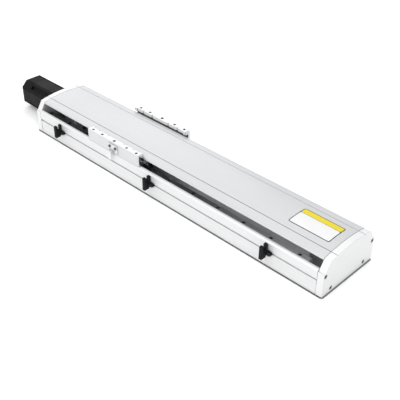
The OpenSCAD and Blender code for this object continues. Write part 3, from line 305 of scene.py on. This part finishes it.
# painted shade in fine gaps
FINE_GAP_SHADE = Seam(0.8, 3 * MM)
# painted shade in the cover's grooves: 0.6 at the front and none at the rear
COVER_GROOVE_SHADE = GrooveShade(body_hi.y - 30.5 * MM, 1.1 * MM, 0.6, 0.0)
# painted shade in the hollows of each part
BODY_HOLLOW_SHADE = HollowShade("Y", body_hi.y - 6 * MM, 0.35, 0.0, ANYWHERE)
PLATE_HOLLOW_SHADE = HollowShade("X", body_hi.x + 0.6 * MM, 0.98, 0.0, ANYWHERE)
TABLE_HOLLOW_SHADE = HollowShade("Y", table_hi.y - 5.7 * MM, 0.98, 0.98, table_hi.z - 6.2 * MM)
RAIL_HOLLOW_SHADE = HollowShade("Y", ANYWHERE, 1.0, 0.0, ANYWHERE)
# painted light: the table's top is lighter than the rest of the table, which has a darker colour
TABLE_PAINTED_TOP_LIGHT = PaintedTopLight(table_hi.z - 0.1 * MM, (0.90, 0.905, 0.91))
RAIL_END = Dull(80 * MM, 330 * MM)
# painted shade in the motor's gaps and pockets
MOTOR_GAP_SHADE = Seam(0.95, 6 * MM)
# painted shade lines beside the motor's chamfers
MOTOR_CHAMFER_SHADE = ChamferShade(12.5 * MM, 0.9 * MM, 0.9)

FINISH = {
    # anodised aluminium
    "body": brushed("anodised_side", (0.88, 0.885, 0.89), 0.42, 0.25, Lines(ALONG_X, 60, 0.03, 0.04),
                    hollow_shade=BODY_HOLLOW_SHADE, gap_shade=FINE_GAP_SHADE),
    "cover": brushed("anodised_cover", (0.70, 0.71, 0.72), 0.36, 0.35, Lines(ALONG_X, 90, 0.05, 0.06),
                     tail=0.05, groove_shade=COVER_GROOVE_SHADE, gap_shade=FINE_GAP_SHADE),
    # the end plates' outer edges are painted darker, as painted shade lines
    "plate": brushed("anodised_plate", (0.93, 0.935, 0.94), 0.40, 0.25, Lines((3, 3, 3), 120, 0.03, 0.03),
                     edge=Edge(0.8 * MM, 0.9, 0.45), hollow_shade=PLATE_HOLLOW_SHADE, gap_shade=FINE_GAP_SHADE),
    "table": brushed("anodised_table", (0.76, 0.765, 0.77), 0.38, 0.25, Lines((0.1, 9, 9), 70, 0.03, 0.04),
                     painted_top_light=TABLE_PAINTED_TOP_LIGHT, hollow_shade=TABLE_HOLLOW_SHADE, gap_shade=Seam(0.9, 3 * MM)),
    # other metal
    "milled": brushed("milled_aluminium", (0.62, 0.63, 0.65), 0.34, 0.8, Lines((10, 1, 1), 130, 0.07, 0.10)),
    "rail": brushed("ground_rail", (0.66, 0.67, 0.69), 0.22, 0.95, Lines(ALONG_X, 90, 0.08, 0.05),
                    hollow_shade=RAIL_HOLLOW_SHADE, dull=RAIL_END),
    "block": brushed("ground_block", (0.42, 0.43, 0.45), 0.32, 0.85, Lines((0.2, 9, 9), 80, 0.08, 0.05)),
    "cap": brushed("lapped_cap", (0.60, 0.61, 0.63), 0.10, 1.0, Lines((2, 9, 2), 60, 0.03, 0.02)),
    "shaft": brushed("ground_shaft", (0.60, 0.61, 0.63), 0.24, 0.95, Lines((9, 9, 9), 90, 0.06, 0.04)),
    "gear": brushed("cut_gear", (0.40, 0.41, 0.43), 0.34, 0.9, Lines((6, 6, 6), 120, 0.10, 0.08)),
    # near-black lining for holes and sockets: painted shade
    "bore": brushed("oiled_bore", (0.010, 0.010, 0.011), 0.60, 0.0, TURNED),
    # the flag's outer edges are painted darker, as painted shade lines
    "flag": brushed("flag_sheet", (0.84, 0.845, 0.85), 0.30, 0.5, Lines((1, 1, 4), 60, 0.02, 0.02),
                    edge=Edge(0.7 * MM, 0.9, 0.35), gap_shade=Seam(0.7, 3 * MM)),
    # screws
    "black_screw": brushed("black_screw", (0.035, 0.035, 0.04), 0.38, 0.6, TURNED),
    "dark_screw": brushed("dark_screw", (0.12, 0.12, 0.13), 0.36, 0.6, TURNED),
    "bright_screw": brushed("bright_screw", (0.72, 0.73, 0.74), 0.30, 0.6, Lines(EVEN, 200, 0.06, 0.05),
                            gap_shade=Seam(1.0, 3 * MM)),
    # coatings, plastics and rubber
    "motor": moulded("motor_coat", (0.010, 0.010, 0.011), 0.50, Grain(1800, 0.30), 0.6 * MM, 0.10,
                     gap_shade=MOTOR_GAP_SHADE, corner=MOTOR_CHAMFER_SHADE),
    "motor_rear": moulded("motor_cover_coat", (0.009, 0.009, 0.010), 0.54, Grain(1500, 0.40), 0.6 * MM,
                          0.10, gap_shade=MOTOR_GAP_SHADE, corner=MOTOR_CHAMFER_SHADE),
    "plastic": moulded("black_plastic", (0.020, 0.020, 0.021), 0.48, spec=0.3),
    "sensor": moulded("sensor_plastic", (0.016, 0.016, 0.017), 0.44, Grain(2200, 0.2), spec=0.06),
    "rubber": moulded("black_rubber", (0.028, 0.028, 0.029), 0.72, Grain(1800, 0.4)),
    "spider": moulded("red_polyurethane", (0.45, 0.04, 0.03), 0.45),
    "lens": moulded("lamp_lens", (0.025, 0.006, 0.006), 0.25, Grain(900, 0.05), 0.1 * MM, 0.6),
    # label
    "label_rim": moulded("label_rim", (0.03, 0.03, 0.035), 0.5, Grain(1500, 0.1)),
    "label_face": moulded("label_face", (0.97, 0.97, 0.97), 0.42, Grain(1500, 0.1), 0.1 * MM,
                          contrast=0.02),
    "label_band": moulded("label_band", (0.92, 0.76, 0.02), 0.42, Grain(1500, 0.1), 0.1 * MM,
                          contrast=0.04),
}

# which nodes of the model wear each finish
WORN_BY = {
    "body": ["base_extrusion"],
    "cover": ["top_cover"],
    "plate": ["motor_end_plate", "tail_end_plate"],
    "table": ["carriage_table"],
    "milled": ["drive_housing", "idler_bracket", "belt_clamp_block", "belt_clamp_plate", "drive_pulley",
               "idler_pulley", "pinion_coupling_hub", "motor_coupling_hub", "shaft_collar"],
    "rail": ["front_guide_rail", "rear_guide_rail"],
    "block": ["guide_block_front_motor", "guide_block_front_tail", "guide_block_rear_motor",
              "guide_block_rear_tail"],
    "cap": ["motor_side_end_cap", "tail_side_end_cap"],
    "shaft": ["pulley_shaft_bearings", "pinion_shaft_bearings", "idler_axle", "idler_bearings",
              "pulley_shaft", "pinion_shaft", "motor_shaft", "tail_stop_posts"],
    "gear": ["bevel_gear", "bevel_pinion"],
    "flag": ["sensor_flag"],
    "black_screw": ["sensor_screws", "end_plate_screws", "rail_screws", "drive_housing_screws",
                    "tension_screws", "idler_clamp_screws", "block_screws", "belt_clamp_screws",
                    "clamp_block_screws"],
    "dark_screw": ["flag_screws"],
    "bright_screw": ["end_cap_screws", "sensor_nuts", "motor_screws"],
    "motor": ["motor_flange", "motor_body"],
    "motor_rear": ["motor_rear_cover"],
    "plastic": ["block_end_seals", "motor_cable_glands"],
    "sensor": ["motor_limit_sensor", "home_sensor", "tail_limit_sensor"],
    "rubber": ["timing_belt", "motor_side_buffers", "tail_buffers"],
    "spider": ["coupling_spider"],
}


def dress_nodes():
    for key, names in WORN_BY.items():
        for name in names:
            mesh = nodes[name].data
            mesh.materials.clear()
            mesh.materials.append(FINISH[key])
            for face in mesh.polygons:
                face.material_index = 0


# ------------------------------------------------------------ mesh helpers

SMOOTH_ANGLE = math.radians(35)


def add_piece(name, bm, finish, body):
    """Makes a piece of the mesh, keeps its sharp edges sharp, and lets it ride on a body."""
    bmesh.ops.recalc_face_normals(bm, faces=bm.faces)
    for face in bm.faces:
        face.smooth = True
    for edge in bm.edges:
        if len(edge.link_faces) == 2 and edge.calc_face_angle(0) > SMOOTH_ANGLE:
            edge.smooth = False
    mesh = bpy.data.meshes.new(name)
    bm.to_mesh(mesh)
    bm.free()
    mesh.materials.append(FINISH[finish])
    piece = bpy.data.objects.new(name, mesh)
    bpy.context.scene.collection.objects.link(piece)
    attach(piece, body)


def lathe(bm, profile, place, axis, steps=24):
    """Turns a profile of (radius, height) points, in mm, about an axis through the place."""
    turn = Vector((0, 0, 1)).rotation_difference(Vector(axis)).to_matrix().to_4x4()
    seat = Matrix.Translation(place) @ turn
    rings = []
    for radius, height in profile:
        if radius == 0:
            rings.append([bm.verts.new(seat @ Vector((0, 0, height * MM)))] * steps)
            continue
        ring = []
        for i in range(steps):
            angle = 2 * math.pi * i / steps
            point = Vector((radius * math.cos(angle), radius * math.sin(angle), height)) * MM
            ring.append(bm.verts.new(seat @ point))
        rings.append(ring)
    for low, high in zip(rings, rings[1:]):
        for i in range(steps):
            j = (i + 1) % steps
            corners = list(dict.fromkeys((low[i], low[j], high[j], high[i])))
            if len(corners) > 2:
                bm.faces.new(corners)


def bevelled_block(bm, lo, hi, bevel):
    """Adds a block between two corners, with its edges rounded."""
    lo, hi = Vector(lo), Vector(hi)
    verts = bmesh.ops.create_cube(bm, size=1)["verts"]
    for vert in verts:
        vert.co = (lo + hi) / 2 + vert.co * (hi - lo)
    edges = list({edge for vert in verts for edge in vert.link_edges})
    bmesh.ops.bevel(bm, geom=edges, offset=bevel, segments=3, profile=0.6, affect="EDGES")


# ------------------------------------------------------------ label

LABEL_LIFT = 0.01 * MM
CORNER_STEPS = 6
ACROSS_STEPS = 12
CROWN_RISE = 5.3 * MM
SHOULDER_Y = body_hi.y - 14 * MM
DOME_RADIUS = (SHOULDER_Y ** 2 + CROWN_RISE ** 2) / (2 * CROWN_RISE)


def dome_z(y):
    """Height of the cover's dome at y."""
    return cover_hi.z - DOME_RADIUS + math.sqrt(DOME_RADIUS ** 2 - y * y)


def label_sheet(name, x0, x1, y0, y1, corner, thick):
    """A thin sheet with round corners that follows the dome."""
    turns = [math.pi / 2 * i / CORNER_STEPS for i in range(CORNER_STEPS + 1)]
    straight = y1 - y0 - 2 * corner
    ys = [y0 + corner - corner * math.cos(turn) for turn in turns]
    ys += [y0 + corner + straight * i / ACROSS_STEPS for i in range(1, ACROSS_STEPS)]
    ys += [y1 - corner + corner * math.sin(turn) for turn in turns]
    bm = bmesh.new()
    top, low = [], []
    for y in ys:
        past = max(0.0, y0 + corner - y, y - (y1 - corner))
        inset = corner - math.sqrt(max(0.0, corner ** 2 - past ** 2))
        ends = (x0 + inset, x1 - inset)
        top.append([bm.verts.new((x, y, dome_z(y) + thick)) for x in ends])
        low.append([bm.verts.new((x, y, dome_z(y) + LABEL_LIFT)) for x in ends])
    for i in range(len(ys) - 1):
        bm.faces.new([*top[i], *reversed(top[i + 1])])
        bm.faces.new([*low[i], *reversed(low[i + 1])])
        for k in (0, 1):
            bm.faces.new([top[i][k], top[i + 1][k], low[i + 1][k], low[i][k]])
    for i in (0, -1):
        bm.faces.new([*top[i], *reversed(low[i])])
    add_piece(name, bm, name, "base")


def add_label():
    """Blank label near the tail: dark rim, white face and a plain yellow band along its rear side."""
    x0, x1 = cover_hi.x - 96.4 * MM, cover_hi.x - 14.9 * MM
    y0, y1 = -22.5 * MM, 24.5 * MM
    rim = 1.5 * MM
    band_y = y1 - 13.4 * MM
    divider = 0.8 * MM
    label_sheet("label_rim", x0, x1, y0, y1, 3.5 * MM, 0.12 * MM)
    label_sheet("label_face", x0 + rim, x1 - rim, y0 + rim, band_y - divider, 2.4 * MM, 0.16 * MM)
    label_sheet("label_band", x0 + rim, x1 - rim, band_y, y1 - rim, 2 * MM, 0.16 * MM)


# ------------------------------------------------------------ small pieces

def add_sensor_details(name):
    """Lamp, three pins and their socket strip of a fork sensor."""
    lo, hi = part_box(name)
    half_width = 3 * MM
    x = lo.x + half_width
    lens = [(1.3, 0), (1.3, 0.2), (1.1, 0.7), (0.6, 1), (0, 1.1)]
    bm = bmesh.new()
    lathe(bm, lens, Vector((x + half_width, hi.y - 2.5 * MM, lo.z + 15.5 * MM)), (1, 0, 0), 16)
    add_piece(name + "_lamp", bm, "lens", "base")

    middle_pin = lo.y + 4.2 * MM
    pin_pitch, pin_half = 2.4 * MM, 0.3 * MM
    bm = bmesh.new()
    for y in (middle_pin - pin_pitch, middle_pin, middle_pin + pin_pitch):
        bevelled_block(bm, (x - pin_half, y - pin_half, lo.z - 3.4 * MM),
                       (x + pin_half, y + pin_half, lo.z + 0.2 * MM), 0.1 * MM)
    add_piece(name + "_pins", bm, "bright_screw", "base")

    half_x, half_y = 1.8 * MM, 3.4 * MM
    bm = bmesh.new()
    bevelled_block(bm, (x - half_x, middle_pin - half_y, lo.z - 0.8 * MM),
                   (x + half_x, middle_pin + half_y, lo.z + 0.3 * MM), 0.3 * MM)
    add_piece(name + "_strip", bm, "sensor", "base")


def add_grease_nipples():
    """One nipple on the outer end seal of each guide block."""
    lo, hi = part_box("block_end_seals")
    inset_y, inset_z = 16.4 * MM, 5.5 * MM
    profile = [(2.8, -0.2), (2.8, 1.2), (1.8, 1.5), (1.6, 3.0), (2.1, 3.6), (2.1, 4.4), (1.2, 5.2),
               (0.5, 5.3), (0, 5.1)]
    for side, y in (("f", lo.y + inset_y), ("r", hi.y - inset_y)):
        for end, x, outward in (("m", lo.x, -1), ("t", hi.x, 1)):
            bm = bmesh.new()
            lathe(bm, profile, Vector((x, y, hi.z - inset_z)), (outward, 0, 0), 20)
            add_piece("grease_nipple_" + side + end, bm, "shaft", "carriage")


def add_table_threads():
    """Near-black linings of the holes in the table's arms, a painted shade: threads in the tapped ones, and
    plain dowel holes.
    """
    middle = (table_lo.x + table_hi.x) / 2
    inset_y = 5 * MM
    pitch, root, crest = 0.8, 2.48, 2.26
    tapped = [(2.87, -0.06), (2.49, -0.45)]
    for turn in range(1, 10):
        tapped += [(root, -pitch * turn), (crest, -pitch * (turn + 0.5))]
    dowel = [(2.96, -0.06), (2.96, -7.8), (0, -7.9)]
    bm = bmesh.new()
    for y in (table_lo.y + inset_y, table_hi.y - inset_y):
        for off in (-62.5, -35.5, 35.5, 62.5):
            lathe(bm, tapped, Vector((middle + off * MM, y, table_hi.z)), (0, 0, 1), 20)
        lathe(bm, dowel, Vector((middle, y, table_hi.z)), (0, 0, 1))
    add_piece("table_threads", bm, "bore", "carriage")


def add_flag_screw_sockets():
    """Dark hexagon sockets in the flag's two screws: painted shade."""
    lo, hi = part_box("flag_screws")
    head_radius = (hi.z - lo.z) / 2
    socket = [(0, 0.3), (1.18, 0.3), (1.18, 1.3), (0, 1.3)]
    bm = bmesh.new()
    for x in (lo.x + head_radius, hi.x - head_radius):
        lathe(bm, socket, Vector((x, lo.y, lo.z + head_radius)), (0, 1, 0), 6)
    add_piece("flag_screw_sockets", bm, "bore", "carriage")


def add_motor_screws():
    """Cap screws in the four seats of the motor's rear cover."""
    seat_depth, inset = 3 * MM, 9.5 * MM
    reach = (motor_hi.y - motor_lo.y) / 2 - inset
    head = [(2.7, 0), (2.7, 1.9), (2.4, 2.2), (1.4, 2.2), (1.4, 0.8), (0, 0.6)]
    bm = bmesh.new()
    for y in (-reach, reach):
        for z in (motor_axis_z - reach, motor_axis_z + reach):
            lathe(bm, head, Vector((motor_lo.x + seat_depth, y, z)), (-1, 0, 0), 20)
    add_piece("motor_rear_screws", bm, "black_screw", "base")


# ------------------------------------------------------------ floor and world

WHITE = (1.0, 1.0, 1.0)
FLOOR_PALE = (0.80, 0.80, 0.80)
FLOOR_DARK = (0.03, 0.03, 0.03)
FLOOR_GLOW = 0.50
FLOOR_SIZE = 9
FLOOR_DROP = 0.2 * MM
SOFT_SHADOW = (50 * MM, 1.0)      # reach and power of the soft shade round the object
CONTACT_SHADOW = (3.6 * MM, 5.0)  # and of the dark line right under its edges
DAYLIGHT = 0.55
BACKDROP = 1.0


def floor_material():
    """Pale floor that shows white in the open and darkens near the object."""
    material = bpy.data.materials.new("stage_floor")
    graph = Graph(material)
    soft, contact = [graph.math("POWER", graph.occlusion(reach, FLOOR_SAMPLES), power)
                     for reach, power in (SOFT_SHADOW, CONTACT_SHADOW)]
    diffuse = graph.new("BsdfDiffuse")
    graph.feed(graph.mix(contact, FLOOR_DARK, FLOOR_PALE), diffuse.inputs["Color"])
    glow = graph.new("Emission")
    graph.feed(graph.math("MULTIPLY", graph.math("MULTIPLY", soft, contact), FLOOR_GLOW),
               glow.inputs["Strength"])
    no_glow = graph.new("Emission")
    graph.feed(0.0, no_glow.inputs["Strength"])
    seen = graph.new("MixShader")
    for i, source in enumerate((graph.not_diffuse(), no_glow.outputs[0], glow.outputs[0])):
        graph.feed(source, seen.inputs[i])
    both = graph.new("AddShader")
    graph.feed(diffuse.outputs[0], both.inputs[0])
    graph.feed(seen.outputs[0], both.inputs[1])
    graph.feed(both.outputs[0], graph.new("OutputMaterial").inputs["Surface"])
    return material


def add_floor():
    bm = bmesh.new()
    bmesh.ops.create_grid(bm, x_segments=4, y_segments=4, size=FLOOR_SIZE)
    mesh = bpy.data.meshes.new("stage_floor")
    bm.to_mesh(mesh)
    bm.free()
    mesh.materials.append(floor_material())
    floor = bpy.data.objects.new("stage_floor", mesh)
    floor.location.z = -FLOOR_DROP
    bpy.context.scene.collection.objects.link(floor)


def add_world():
    """Even grey daylight that is seen, and mirrored, as white."""
    world = bpy.data.worlds.new("studio")
    bpy.context.scene.world = world
    graph = Graph(world)
    sky = graph.new("MixShader")
    graph.feed(graph.not_diffuse(), sky.inputs[0])
    for i, strength in ((1, DAYLIGHT), (2, BACKDROP)):
        background = graph.new("Background")
        graph.feed(WHITE, background.inputs["Color"])
        graph.feed(strength, background.inputs["Strength"])
        graph.feed(background.outputs[0], sky.inputs[i])
    graph.feed(sky.outputs[0], graph.new("OutputWorld").inputs["Surface"])


# ------------------------------------------------------------ lamps and camera

# name, place, size of the panel and power
LAMPS = [
    ("front_light", (0.3, -2.7, 2.8), (3.6, 2.0), 62),
    ("right_light", (4.2, -0.6, 1.9), (3.0, 2.6), 22),
    ("top_light", (-0.6, 0.6, 3.4), (3.4, 2.6), 14),
    ("left_light", (-3.0, 2.0, 1.9), (3.0, 2.2), 12),
]
LAMP_TARGET = Vector((0, 0, 30 * MM))
VIEW_DIRECTION = Vector((-1, 1, -1))
CAMERA_PLACE = (0.8173, -0.8081, 0.7826)
CAMERA_LENS = 65.66
CAMERA_SENSOR = 36
CAMERA_SHIFT = (0.03175, -0.00225)


def facing(direction):
    """Rotation that turns a lamp or the camera to look along the direction."""
    return direction.to_track_quat("-Z", "Y").to_euler()


def add_lamps():
    for name, place, size, power in LAMPS:
        data = bpy.data.lights.new(name, "AREA")
        data.shape = "RECTANGLE"
        data.size, data.size_y = size
        data.energy = power
        lamp = bpy.data.objects.new(name, data)
        lamp.location = place
        lamp.rotation_euler = facing(LAMP_TARGET - Vector(place))
        bpy.context.scene.collection.objects.link(lamp)


def add_camera():
    """Camera at the photograph's viewing angle, down a diagonal from the front right."""
    data = bpy.data.cameras.new("photo_camera")
    data.sensor_width = CAMERA_SENSOR
    data.lens = CAMERA_LENS
    data.shift_x, data.shift_y = CAMERA_SHIFT
    camera = bpy.data.objects.new("photo_camera", data)
    camera.location = CAMERA_PLACE
    camera.rotation_euler = facing(VIEW_DIRECTION)
    bpy.context.scene.collection.objects.link(camera)
    bpy.context.scene.camera = camera


dress_nodes()
add_label()
for sensor in ("motor_limit_sensor", "home_sensor", "tail_limit_sensor"):
    add_sensor_details(sensor)
add_grease_nipples()
add_table_threads()
add_flag_screw_sockets()
add_motor_screws()
add_floor()
add_world()
add_lamps()
add_camera()
bpy.context.scene.view_settings.view_transform = "Standard"
